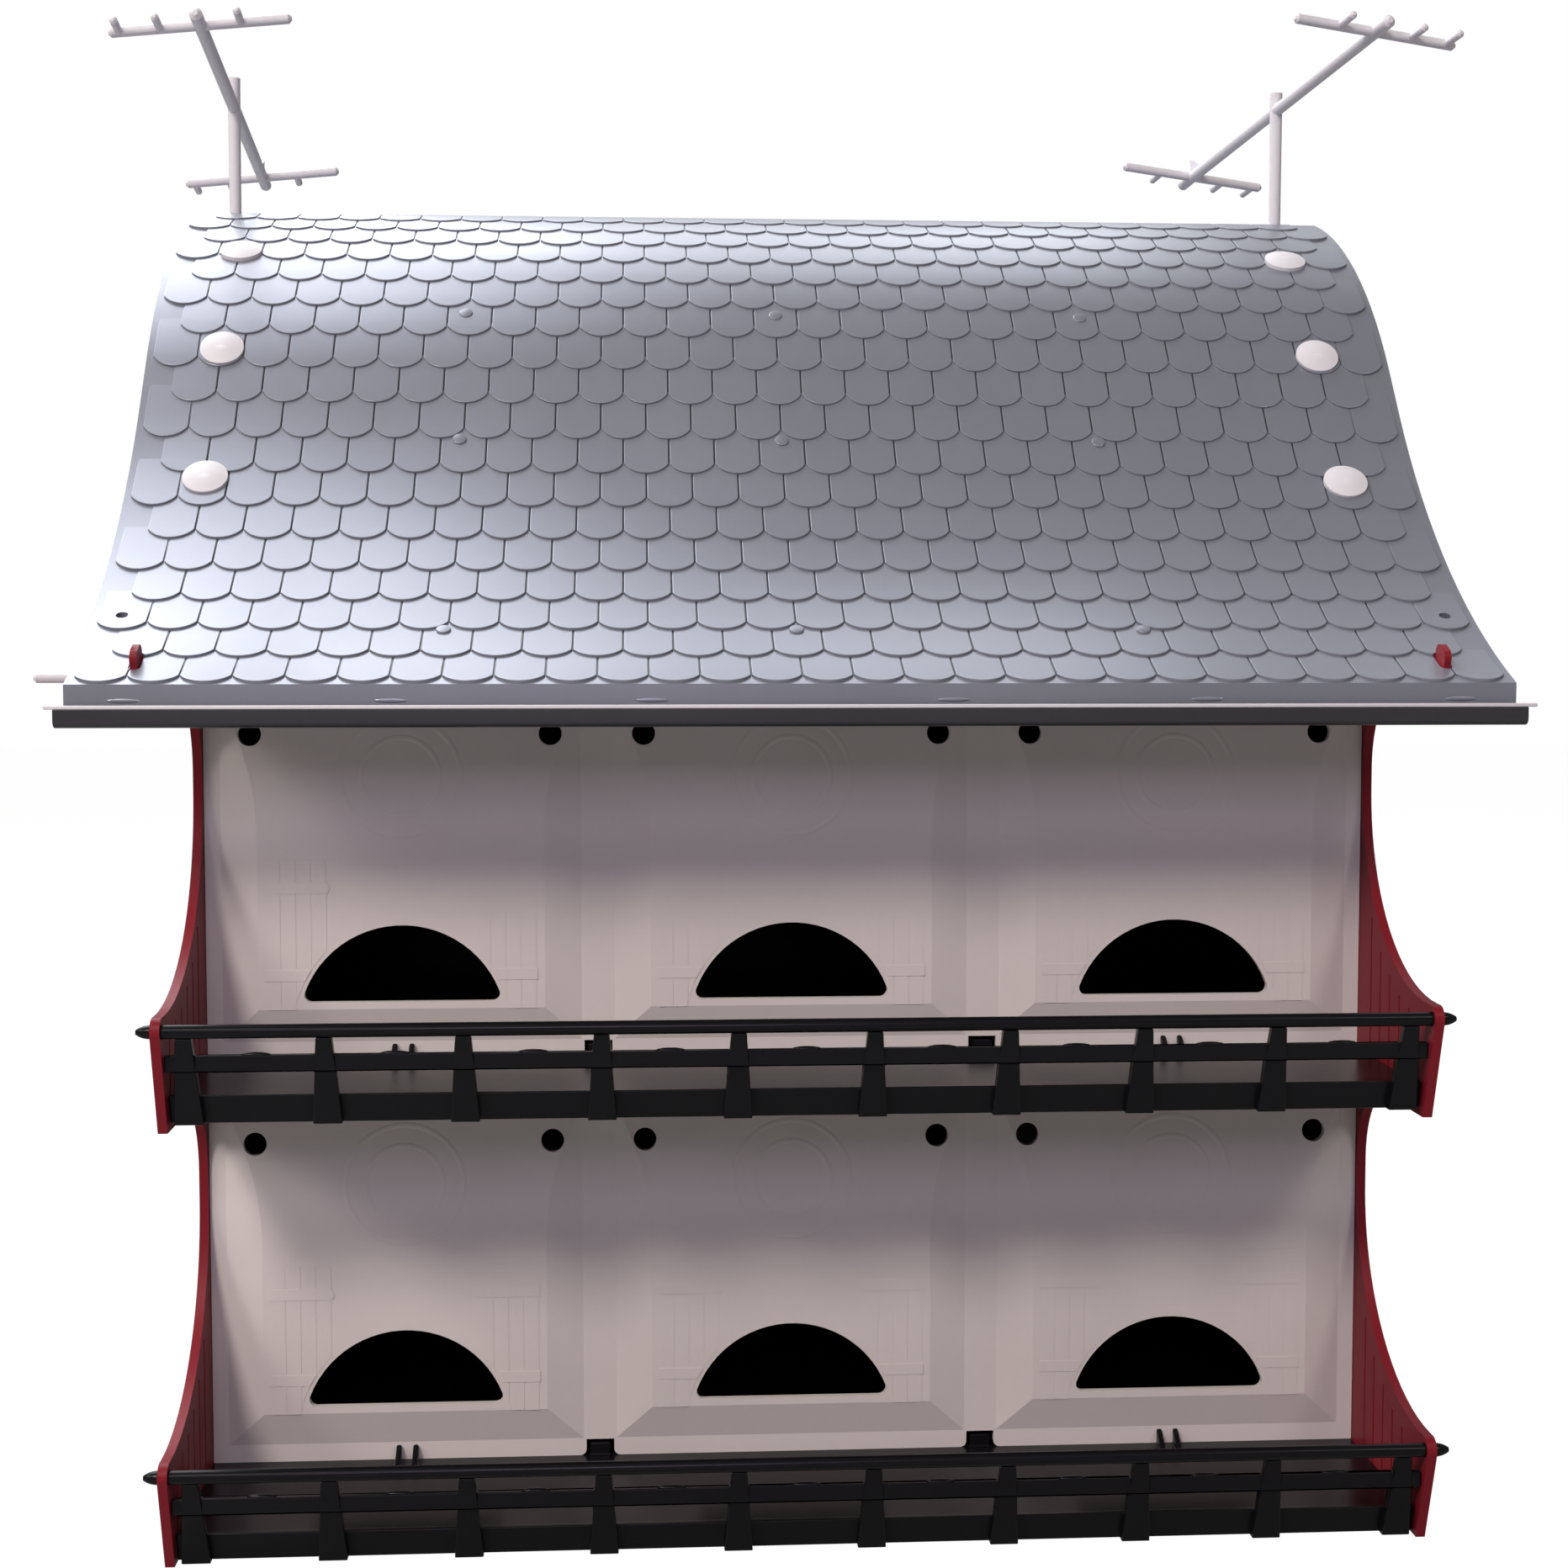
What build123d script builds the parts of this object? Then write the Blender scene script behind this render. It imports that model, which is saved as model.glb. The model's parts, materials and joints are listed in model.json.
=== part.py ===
from build123d import *
import os
from math import cos, radians, sin, tan

# Barn-style martin house of moulded plastic: two storeys of three rooms on the front and on the back.
# X runs along the ridge, the front faces -Y, Z is up, and the origin is the bottom centre. Millimetres.

# House body
bay_width = 152.4
bay_count = 3
house_depth = 416.0
storey_height = 160.5
storey_count = 2
floor_top = 10.0
floor_thickness = 3.0
partition_thickness = 3.0
seat_clearance = 0.2
cut_overrun = 1.0
quarter_turn = 90.0

# Front and back panels, one for each storey, with a bevelled field raised in every bay
panel_thickness = 3.0
field_rise = 3.5
field_margin = 6.45
field_bevel = 14.25
entry_height_above_base = 33.0
sill_inner_drop = 2.8
sill_outer_drop = 16.0
field_flat_rise = 66.0
field_head_drop = 16.5
entry_width = 78.0
entry_height = 30.0
entry_corner_radius = 3.0
vent_diameter = 9.0
vent_spread = 116.0
vent_drop = 30.0
notch_width = 11.0
notch_height = 6.5
notch_corner_radius = 2.5

# End walls with a flared wing at each porch
end_wall_thickness = 3.5
wing_nose_margin = 6.0
wing_nose_rise = 5.0
wing_nose_radius = 5.0
wing_base_setback = 14.0
wing_curve_setback = 10.0
wing_upright = 13.5
wing_root_radius = 32.0
wing_drop = 2.0
wall_edge_reach = 2.0
eave_wing_reach = 52.0
eave_wing_drop = 5.0
roof_flange_width = 24.0
roof_flange_reach = 60.0
roof_flange_thickness = 3.0

# Porch deck with its leaning fascia, wall tabs and panel clips
porch_reach = 75.7
fascia_thickness = 3.0
fascia_bottom = 0.8
fascia_top = 11.5
fascia_angle = 16.3
tab_width = 8.0
tab_height = 5.0
tab_depth = 3.0
clip_spacing = 6.6
clip_fin_width = 2.2
clip_height = 6.2
clip_depth = 9.0
clip_gap = 0.5
clip_nose_share = 0.25
clip_shoulder_share = 0.8

# Porch railing
post_count = 10
post_end_margin = 7.5
post_base_width = 10.5
post_head_width = 5.6
post_thickness = 4.0
mid_rail_height = 6.0
mid_rail_thickness = 2.4
mid_rail_drop = 12.0
rail_diameter = 5.0
rail_height = 36.0
rail_tip_length = 5.0
rail_overhang = 5.5
rail_tip_diameter = 1.8
rail_clearance = 0.3

# Roof: concave at the eave, straight, then rounded over the ridge; its half span is divided by the parts
roof_overhang = 36.4
roof_thickness = 3.0
eave_reach = 69.0
eave_drop = 2.2
eave_angle = 22.7
steep_angle = 54.3
shoulder_angle = 16.0
concave_part = 51.0
straight_part = 4.9
shoulder_part = 42.1
crown_part = 2.0
roof_fascia_height = 8.5
roof_fascia_thickness = 2.5

# Gutter under the eave
gutter_height = 7.0
gutter_depth = 9.0
gutter_wall = 1.6
gutter_overhang = 2.6
gutter_corner_radius = 2.5

# Round caps on the roof, small holes, and the latch tabs that pass through it
cap_diameter = 18.2
cap_rise = 3.6
cap_rim = 2.2
cap_sink = 0.3
cap_inset = 31.0
cap_run_shares = (0.396, 0.598, 0.8)
latch_offset = 13.7
latch_run = 17.5
latch_width = 2.6
latch_length = 11.0
latch_stand = 6.5
latch_clearance = 1.0
latch_round_share = 0.33
pin_hole_diameter = 4.5
pin_hole_inset = 11.2
pin_hole_run = 53.4

# Aerial-shaped perches on the ridge
mast_offset = 18.25
mast_diameter = 5.9
mast_foot_diameter = 5.2
mast_height = 62.5
mast_socket = 14.0
left_boom_rise = 48.8
right_boom_rise = 54.4
boom_diameter = 5.6
boom_reach = 100.0
boom_tip = 14.4
boom_tilt = 7.5
left_boom_turn = 1.4
right_boom_turn = 10.0
crossbar_diameter = 4.4
crossbar_tilt = 6.0
peg_diameter = 3.4
peg_length = 14.0
peg_spacing = 17.0
peg_margin = 4.5
outer_peg_count = 2
inner_peg_count = 1
rod_tip_share = 0.3
fin_length = 15.0
fin_height = 9.0
fin_thickness = 2.0

# Side perches on the gables
side_perch_diameter = 4.6
side_perch_length = 112.0
side_perch_drop = 2.7
side_perch_flange = 14.0
side_perch_flange_thickness = 2.5
side_perch_tip = 1.5

# Fixing holes for a pole bracket in the ground floor
pole_hole_spacing = 101.6
pole_hole_diameter = 6.5

# Sizes that follow from the ones above
house_width = bay_count * bay_width
front = -house_depth / 2
half_width = house_width / 2
end_face = half_width + end_wall_thickness
clear_width = house_width - 2 * seat_clearance
panel_height = storey_height - floor_thickness
room_depth = house_depth / 2 - panel_thickness
eave = front - eave_reach
eave_height = storey_count * storey_height - eave_drop
roof_end = half_width + roof_overhang
roof_length = 2 * roof_end
mast_x = half_width + mast_offset
post_spacing = (house_width - 2 * post_end_margin) / (post_count - 1)
through = 2 * (roof_thickness + roof_flange_thickness) + mast_socket
panel_top = floor_top + panel_height
fascia_lean = tan(radians(fascia_angle))
rail_reach = porch_reach + fascia_lean * (rail_height - fascia_bottom) + post_thickness / 2
wing_nose_reach = rail_reach + wing_nose_margin
wing_base_reach = wing_nose_reach - wing_base_setback
wing_curve_reach = wing_nose_reach - wing_curve_setback
crossbar_reach = outer_peg_count * peg_spacing + peg_margin
bay_centres = [(bay - (bay_count - 1) / 2) * bay_width for bay in range(bay_count)]
bay_joints = [(joint - bay_count / 2) * bay_width for joint in range(1, bay_count)]


def save(name, *solids):
    """Write one node, from one solid or from several that don't touch."""
    shape = solids[0] if len(solids) == 1 else Compound(list(solids))
    export_step(shape, f"parts/{name}.step")


def block(low, high):
    """A box between two corners."""
    size = [high[axis] - low[axis] for axis in range(len(low))]
    return Pos(*low) * Box(*size, align=(Align.MIN, Align.MIN, Align.MIN))


def along_x(face, start, length):
    """Extrude a face that was drawn with X as Y and Y as Z, along X from a start."""
    return Pos(start, 0, 0) * extrude(Plane.YZ * face, length, dir=(1, 0, 0))


def to_back(shape):
    """The same piece on the back of the house."""
    return mirror(shape, about=Plane.XZ)


# The roof line, from the eave to the ridge

class RoofLine:
    """Tangent arcs and a straight, shifted inwards from the outer face by an offset."""

    def __init__(self):
        low, steep, flat = eave_angle, steep_angle, shoulder_angle
        unit = -eave / (concave_part + straight_part + shoulder_part + crown_part)
        self.concave_radius = unit * concave_part / (sin(radians(steep)) - sin(radians(low)))
        self.straight_run = unit * straight_part / cos(radians(steep))
        self.shoulder_radius = unit * shoulder_part / (sin(radians(steep)) - sin(radians(flat)))
        self.crown_radius = unit * crown_part / sin(radians(flat))
        self.concave_centre = Vector(eave, eave_height) + self.normal(low) * self.concave_radius
        straight_end = self.concave(steep, 0) + self.uphill(steep) * self.straight_run
        self.shoulder_centre = straight_end - self.normal(steep) * self.shoulder_radius
        self.crown_centre = self.shoulder(flat, 0) - self.normal(flat) * self.crown_radius
        self.ridge_height = self.crown(0, 0).Y
        self.concave_run = self.concave_radius * radians(steep - low)
        self.shoulder_run = self.shoulder_radius * radians(steep - flat)
        self.total_run = (self.concave_run + self.straight_run + self.shoulder_run
                          + self.crown_radius * radians(flat))

    def normal(self, angle):
        """The outward direction where the roof slopes at this angle."""
        return Vector(-sin(radians(angle)), cos(radians(angle)))

    def uphill(self, angle):
        """The direction up the roof where it slopes at this angle."""
        return Vector(cos(radians(angle)), sin(radians(angle)))

    def concave(self, angle, offset):
        return self.concave_centre - self.normal(angle) * (self.concave_radius + offset)

    def shoulder(self, angle, offset):
        return self.shoulder_centre + self.normal(angle) * (self.shoulder_radius - offset)

    def crown(self, angle, offset):
        return self.crown_centre + self.normal(angle) * (self.crown_radius - offset)

    def edges(self, offset):
        """The line's edges from the eave to the ridge."""
        low, steep, flat = eave_angle, steep_angle, shoulder_angle
        return [
            ThreePointArc(self.concave(low, offset), self.concave((low + steep) / 2, offset),
                          self.concave(steep, offset)),
            Line(self.concave(steep, offset), self.shoulder(steep, offset)),
            ThreePointArc(self.shoulder(steep, offset), self.shoulder((steep + flat) / 2, offset),
                          self.shoulder(flat, offset)),
            ThreePointArc(self.shoulder(flat, offset), self.crown(flat / 2, offset),
                          self.crown(0, offset)),
        ]

    def place(self, run):
        """Point on the outer face below the crown, by its distance up from the eave, and the angle there."""
        if run < self.concave_run:
            angle = eave_angle + (steep_angle - eave_angle) * run / self.concave_run
            return self.concave(angle, 0), angle
        run -= self.concave_run
        if run < self.straight_run:
            return self.concave(steep_angle, 0) + self.uphill(steep_angle) * run, steep_angle
        run -= self.straight_run
        angle = steep_angle - (steep_angle - shoulder_angle) * run / self.shoulder_run
        return self.shoulder(angle, 0), angle

    def plane(self, x, run):
        """Plane on the front slope, with its normal out of the roof."""
        point, angle = self.place(run)
        outward = self.normal(angle)
        return Plane((x, point.X, point.Y), x_dir=(1, 0, 0), z_dir=(0, outward.X, outward.Y))


roof_line = RoofLine()
ridge_height = roof_line.ridge_height


def under_roof(offset):
    """Half of the end view's area below a line inside the roof's outer face, porches included."""
    edges = roof_line.edges(offset)
    foot = edges[0] @ 0
    ridge = edges[-1] @ 1
    beyond = front - 2 * wing_nose_reach
    sides = Polyline(ridge, (0, 0), (beyond, 0), (beyond, foot.Y), foot)
    return make_face(edges + [sides])


def roof_band(outer, inner):
    """Half section of a shell between two lines inside the roof's outer face."""
    outside = roof_line.edges(outer)
    inside = roof_line.edges(inner)
    eave_edge = Line(inside[0] @ 0, outside[0] @ 0)
    ridge_edge = Line(outside[-1] @ 1, inside[-1] @ 1)
    return make_face(outside + inside + [eave_edge, ridge_edge])


# Panels

def raised_field():
    """A bay's field in front of the wall's face, with its base sunk half into the panel."""
    sill_outer = entry_height_above_base - sill_outer_drop
    sill_inner = entry_height_above_base - sill_inner_drop
    flat_top = entry_height_above_base + field_flat_rise
    head = panel_top - field_head_drop
    base = panel_thickness / 2
    lower = Polyline((0, head), (base, head), (base, sill_outer), (0, sill_outer),
                     (-field_rise, sill_inner), (-field_rise, flat_top))
    upper = TangentArc((-field_rise, flat_top), (0, head), tangent=(0, 1))
    outer = bay_width / 2 - field_margin
    inner = outer - field_bevel
    plan = make_face(Polyline((-outer, base), (-outer, 0), (-inner, -field_rise), (inner, -field_rise),
                              (outer, 0), (outer, base), close=True))
    side_view = along_x(make_face([lower, upper]), -bay_width / 2, bay_width)
    return Pos(0, front, 0) * (side_view & extrude(plan, storey_height))


def entry_hole():
    """Half-moon entry, cut through a field."""
    half = entry_width / 2
    outline = make_face([ThreePointArc((-half, 0), (0, entry_height), (half, 0)), Line((half, 0), (-half, 0))])
    outline = fillet(outline.vertices(), entry_corner_radius)
    reach = field_rise + panel_thickness
    hole = extrude(Plane.XZ * outline, 2 * reach, dir=(0, 1, 0))
    return Pos(0, front - reach, entry_height_above_base) * hole


def vent_holes():
    """The two round vents near the top of a bay."""
    hole = Rot(90, 0, 0) * Cylinder(vent_diameter / 2, 2 * (field_rise + panel_thickness))
    return [Pos(side * vent_spread / 2, front, panel_top - vent_drop) * hole for side in (-1, 1)]


def wall_panel():
    """Front panel of the ground storey, one thickness all over, so hollow behind each field."""
    low = (-clear_width / 2, front, floor_top)
    panel = block(low, (clear_width / 2, front + panel_thickness, panel_top))
    field = raised_field()
    for centre in bay_centres:
        panel += Pos(centre, 0, 0) * field
    for centre in bay_centres:
        panel -= Pos(centre, panel_thickness, 0) * field
        panel -= Pos(centre, 0, 0) * entry_hole()
        panel -= [Pos(centre, 0, 0) * vent for vent in vent_holes()]
    behind = front + panel_thickness + cut_overrun
    for joint in bay_joints:
        panel -= block((joint - notch_width / 2, front - cut_overrun, floor_top - cut_overrun),
                       (joint + notch_width / 2, behind, floor_top + notch_height))
    feet = panel.edges().filter_by(Axis.Y).filter_by_position(Axis.Z, floor_top, floor_top)
    feet = feet.filter_by_position(Axis.X, bay_joints[0] - notch_width, bay_joints[-1] + notch_width)
    return fillet(feet, notch_corner_radius)


# End walls

def wing_edges(storey):
    """Front edge of an end wall beside one storey, from the wing's underside to its root above."""
    base = storey * storey_height
    last = storey == storey_count - 1
    under = base - (wing_drop if storey > 0 else 0)
    root_top = base + storey_height - (eave_wing_drop if last else wing_drop)
    nose = front - wing_nose_reach
    face = front - wall_edge_reach
    curve_end = front - wing_curve_reach
    curve_top = base + storey_height - wing_root_radius - wing_upright
    nose_height = base + rail_height + wing_nose_rise
    nose_line = FilletPolyline((front - wing_base_reach, under), (nose, nose_height), (curve_end, nose_height),
                               radius=wing_nose_radius)
    curve = EllipticalCenterArc((curve_end, curve_top), face - curve_end, curve_top - nose_height,
                                start_angle=3 * quarter_turn, arc_size=quarter_turn)
    upright = Line((face, curve_top), (face, root_top - wing_root_radius))
    root = TangentArc(upright @ 1, (face - wing_root_radius, root_top), tangent=(0, 1))
    return [nose_line, curve, upright, root]


def end_wall():
    """Right end wall: a plate with wings, a flange under the roof and two latch tabs."""
    edges = []
    for storey in range(storey_count):
        edges += wing_edges(storey)
        start = edges[-1] @ 1
        if storey < storey_count - 1:
            edges.append(Line(start, (front - wing_base_reach, start.Y)))
    start = edges[-1] @ 1
    edges.append(Polyline(start, (front - eave_wing_reach, start.Y), (front - eave_wing_reach, ridge_height),
                          (0, ridge_height), (0, 0), (front - wing_base_reach, 0)))
    outline = make_face(edges) & under_roof(roof_thickness)
    half = along_x(outline, half_width, end_wall_thickness)
    flange = along_x(roof_band(roof_thickness, roof_thickness + roof_flange_thickness),
                     half_width, roof_flange_width)
    flange = flange & block((0, front - roof_flange_reach, 0), (roof_length, 0, ridge_height))
    half = half + flange + latch()
    for storey in range(storey_count):
        hole = Rot(0, 90, 0) * Cylinder(rail_diameter / 2 + rail_clearance, 2 * end_wall_thickness)
        half -= Pos(half_width + end_wall_thickness / 2, front - rail_reach,
                    storey * storey_height + rail_height) * hole
    return half + to_back(half) - mast_hole(mast_x)


def latch():
    """Tab on the flange that passes up through its slot near the eave."""
    plane = roof_line.plane(half_width + latch_offset, latch_run)
    height = latch_stand + roof_thickness + roof_flange_thickness / 2
    tab = Pos(0, 0, latch_stand - height / 2) * Box(latch_width, latch_length, height)
    top = tab.edges().filter_by(Axis.X).group_by(Axis.Z)[-1]
    return plane * fillet(top, latch_length * latch_round_share)


# Porches

def fascia_outer(height):
    """Y of the fascia's leaning front face at a height above the storey's base."""
    return front - porch_reach - fascia_lean * (height - fascia_bottom)


def porch_deck():
    """Ground porch: floor, leaning fascia, tabs at the bay joints and clips at the outer bays."""
    back = front + panel_thickness
    under = floor_top - floor_thickness
    section = make_face(Polyline(
        (back, under),
        (fascia_outer(under) + fascia_thickness, under),
        (fascia_outer(fascia_bottom) + fascia_thickness, fascia_bottom),
        (fascia_outer(fascia_bottom), fascia_bottom),
        (fascia_outer(fascia_top), fascia_top),
        (fascia_outer(fascia_top) + fascia_thickness, fascia_top),
        (fascia_outer(floor_top) + fascia_thickness, floor_top),
        (back, floor_top), close=True))
    deck = along_x(section, -clear_width / 2, clear_width)
    for joint in bay_joints:
        deck += block((joint - tab_width / 2, front, floor_top - floor_thickness),
                      (joint + tab_width / 2, front + tab_depth, floor_top + tab_height))
    for centre in (bay_centres[0], bay_centres[-1]):
        for side in (-1, 1):
            deck += clip_fin(centre + side * clip_spacing / 2)
    return deck


def clip_fin(x):
    """Pointed fin in front of a panel's lower edge."""
    wall = front - clip_gap
    under = floor_top - floor_thickness
    nose = wall - clip_depth * clip_nose_share
    shoulder = floor_top + clip_height * clip_shoulder_share
    outline = make_face(Polyline((wall, under), (wall, floor_top + clip_height), (nose, shoulder),
                                 (wall - clip_depth, floor_top), (wall - clip_depth, under), close=True))
    return along_x(outline, x - clip_fin_width / 2, clip_fin_width)


def railing():
    """Tapered posts on the fascia, up to the round rail, joined by the flat middle rail."""
    foot_y = fascia_outer(fascia_bottom) - post_thickness / 2
    head_height = rail_height - rail_diameter / 2
    head_y = fascia_outer(head_height) - post_thickness / 2
    foot = Pos(0, foot_y, fascia_bottom) * Rectangle(post_base_width, post_thickness)
    head = Pos(0, head_y, head_height) * Rectangle(post_head_width, post_thickness)
    post = loft([foot, head])
    middle = rail_height - mid_rail_drop
    rail_y = fascia_outer(middle) - post_thickness / 2
    rail = Pos(0, rail_y, middle) * Box(clear_width, mid_rail_thickness, mid_rail_height)
    for index in range(post_count):
        rail += Pos((index - (post_count - 1) / 2) * post_spacing, 0, 0) * post
    return rail


def rail_rod():
    """Round top rail with a bullet-shaped tip outside each end wall."""
    radius = rail_diameter / 2
    half = end_face + rail_overhang
    shoulder = half - rail_tip_length
    point = (rail_tip_diameter / 2, half)
    nose = TangentArc((radius, shoulder), point, tangent=(0, 1))
    edges = [nose, Polyline(point, (0, half), (0, 0), (radius, 0), (radius, shoulder))]
    end = revolve(Plane.XZ * make_face(edges), Axis.Z)
    rod = end + mirror(end, about=Plane.XY)
    return Pos(0, front - rail_reach, rail_height) * Rot(0, 90, 0) * rod


# Floors and partitions

def floor_slab(depth):
    """Floor of the ground storey, with a given depth."""
    return block((-clear_width / 2, -depth / 2, floor_top - floor_thickness),
                 (clear_width / 2, depth / 2, floor_top))


def pole_holes():
    """Bolt holes for a pole bracket."""
    hole = Cylinder(pole_hole_diameter / 2, 2 * floor_thickness)
    reach = pole_hole_spacing / 2
    middle = floor_top - floor_thickness / 2
    return [Pos(x, y, middle) * hole for x in (-reach, reach) for y in (-reach, reach)]


def centre_wall():
    """Wall between the front and back rooms of the ground storey."""
    half = partition_thickness / 2
    return block((-clear_width / 2, -half, floor_top), (clear_width / 2, half, panel_top))


def dividers():
    """Walls between the rooms of the ground storey."""
    half = partition_thickness / 2
    walls = [block((joint - half, -room_depth, floor_top), (joint + half, -half, panel_top))
             for joint in bay_joints]
    return walls + [to_back(wall) for wall in walls]


# Roof

def mast_hole(x):
    """Round hole for a mast through the ridge."""
    return Pos(x, 0, ridge_height) * Cylinder(mast_foot_diameter / 2 + rail_clearance, through)


def roof_slope():
    """Front slope: a curved shell with a fascia at the eave, latch slots and holes."""
    shell = along_x(roof_band(0, roof_thickness), -roof_length / 2, roof_length)
    shell += block((-roof_length / 2, eave, eave_height - roof_fascia_height),
                   (roof_length / 2, eave + roof_fascia_thickness, eave_height))
    for side in (-1, 1):
        latch_plane = roof_line.plane(side * (half_width + latch_offset), latch_run)
        shell -= latch_plane * Box(latch_width + latch_clearance, latch_length + latch_clearance, through)
        pin_plane = roof_line.plane(side * (roof_end - pin_hole_inset), pin_hole_run)
        shell -= pin_plane * Cylinder(pin_hole_diameter / 2, through)
        shell -= mast_hole(side * mast_x)
    return shell


def gutter():
    """Open channel under the front eave, closed at both ends."""
    length = roof_length + 2 * gutter_overhang
    top = eave_height - roof_fascia_height
    low = (-length / 2, eave + roof_fascia_thickness - gutter_depth, top - gutter_height)
    channel = block(low, (length / 2, eave + roof_fascia_thickness, top))
    channel = fillet(channel.edges().filter_by(Axis.X).group_by(Axis.Z)[0], gutter_corner_radius)
    hollow = block((low[0] + gutter_wall, low[1] + gutter_wall, low[2] + gutter_wall),
                   (-low[0] - gutter_wall, eave + roof_fascia_thickness - gutter_wall, top + cut_overrun))
    inner_radius = gutter_corner_radius - gutter_wall
    hollow = fillet(hollow.edges().filter_by(Axis.X).group_by(Axis.Z)[0], inner_radius)
    return channel - hollow


def roof_cap():
    """Low domed cap on a flat rim."""
    radius = cap_diameter / 2
    rim = Cylinder(radius, cap_rim, align=(Align.CENTER, Align.CENTER, Align.MIN))
    dome_height = cap_rise - cap_rim
    dome_radius = (radius ** 2 + dome_height ** 2) / (2 * dome_height)
    dome = Pos(0, 0, cap_rise - dome_radius) * Sphere(dome_radius)
    above = Cylinder(radius, cap_rise, align=(Align.CENTER, Align.CENTER, Align.MIN))
    return rim + (dome & Pos(0, 0, cap_rim) * above)


def roof_caps(slope):
    """The caps of the front slope, each rim trimmed to the roof's curve."""
    cap = Pos(0, 0, -cap_sink) * roof_cap()
    places = [(side * (roof_end - cap_inset), share) for side in (-1, 1) for share in cap_run_shares]
    return [roof_line.plane(x, share * roof_line.total_run) * cap - slope for x, share in places]


# Perches

def rod_between(start, end, diameter):
    """Round rod with bevelled ends."""
    axis = Vector(end) - Vector(start)
    rod = Cylinder(diameter / 2, axis.length, align=(Align.CENTER, Align.CENTER, Align.MIN))
    return Plane(start, z_dir=axis) * chamfer(rod.edges().filter_by(GeomType.CIRCLE), diameter * rod_tip_share)


def crossbar(side, outer):
    """Bar across one end of a level boom, with its outer half lower, and pegs that point along the boom."""
    fall = sin(radians(crossbar_tilt))
    along = Vector(outer * cos(radians(crossbar_tilt)), 0, -fall)
    centre = Vector(0, side * boom_reach, 0)
    bar = rod_between(centre - along * crossbar_reach, centre + along * crossbar_reach, crossbar_diameter)
    for step in range(-inner_peg_count, outer_peg_count + 1):
        if step != 0:
            foot = centre + along * (step * peg_spacing)
            bar += rod_between(foot, foot + Vector(0, side * peg_length, 0), peg_diameter)
    return bar


def boom(outer):
    """Boom along Y through its middle, a pegged bar near each end, and a small fin at the back bar."""
    half = boom_reach + boom_tip
    rods = rod_between((0, -half, 0), (0, half, 0), boom_diameter)
    rods += crossbar(-1, outer) + crossbar(1, outer)
    fin = make_face(Polyline((boom_reach - fin_length, 0), (boom_reach, 0), (boom_reach, fin_height),
                             close=True))
    return rods + along_x(fin, -fin_thickness / 2, fin_thickness)


def aerial(x, rise, turn, outer):
    """Mast in the ridge with a boom that tilts up to the front and is turned about the mast."""
    mast = Cone(mast_foot_diameter / 2, mast_diameter / 2, mast_height + mast_socket,
                align=(Align.CENTER, Align.CENTER, Align.MIN))
    perch = mast + Pos(0, 0, mast_socket + rise) * Rot(-boom_tilt, 0, 0) * boom(outer)
    return Pos(x, 0, ridge_height - mast_socket) * Rot(0, 0, turn) * perch


def side_perch():
    """Round peg on the right gable, with a flange against the wall."""
    base = (Align.CENTER, Align.CENTER, Align.MIN)
    peg = Cylinder(side_perch_diameter / 2, side_perch_length, align=base)
    peg = chamfer(peg.edges().group_by(Axis.Z)[-1], side_perch_tip)
    peg += Cylinder(side_perch_flange / 2, side_perch_flange_thickness, align=base)
    return Pos(end_face, 0, eave_height - side_perch_drop) * Rot(0, 90, 0) * peg


def main():
    os.makedirs("parts", exist_ok=True)

    wall = end_wall()
    save("right_end_wall", wall)
    save("left_end_wall", mirror(wall, about=Plane.YZ))

    by_storey = {"wall_panel": wall_panel(), "porch_deck": porch_deck(),
                 "porch_railing": railing(), "porch_rail": rail_rod()}
    for storey, storey_name in enumerate(("lower", "upper")):
        lift = Pos(0, 0, storey * storey_height)
        for name, piece in by_storey.items():
            save(f"front_{name}_{storey_name}", lift * piece)
            save(f"back_{name}_{storey_name}", lift * to_back(piece))
        save(f"centre_wall_{storey_name}", lift * centre_wall())
        save(f"room_dividers_{storey_name}", *[lift * divider for divider in dividers()])

    floor = floor_slab(2 * room_depth)
    save("ground_floor", floor - pole_holes())
    save("upper_floor", Pos(0, 0, storey_height) * floor)
    save("attic_floor", Pos(0, 0, storey_count * storey_height) * floor_slab(house_depth))

    slope = roof_slope()
    channel = gutter()
    caps = roof_caps(slope)
    save("roof_front", slope)
    save("roof_back", to_back(slope))
    save("gutter_front", channel)
    save("gutter_back", to_back(channel))
    save("roof_caps_front", *caps)
    save("roof_caps_back", *[to_back(cap) for cap in caps])

    save("aerial_perch_left", aerial(-mast_x, left_boom_rise, left_boom_turn, -1))
    save("aerial_perch_right", aerial(mast_x, right_boom_rise, right_boom_turn, 1))
    peg = side_perch()
    save("side_perch_right", peg)
    save("side_perch_left", mirror(peg, about=Plane.YZ))


main()
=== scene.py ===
import json
from math import atan2, ceil, cos, pi, radians, sin

import bpy
from mathutils import Matrix, Vector

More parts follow.
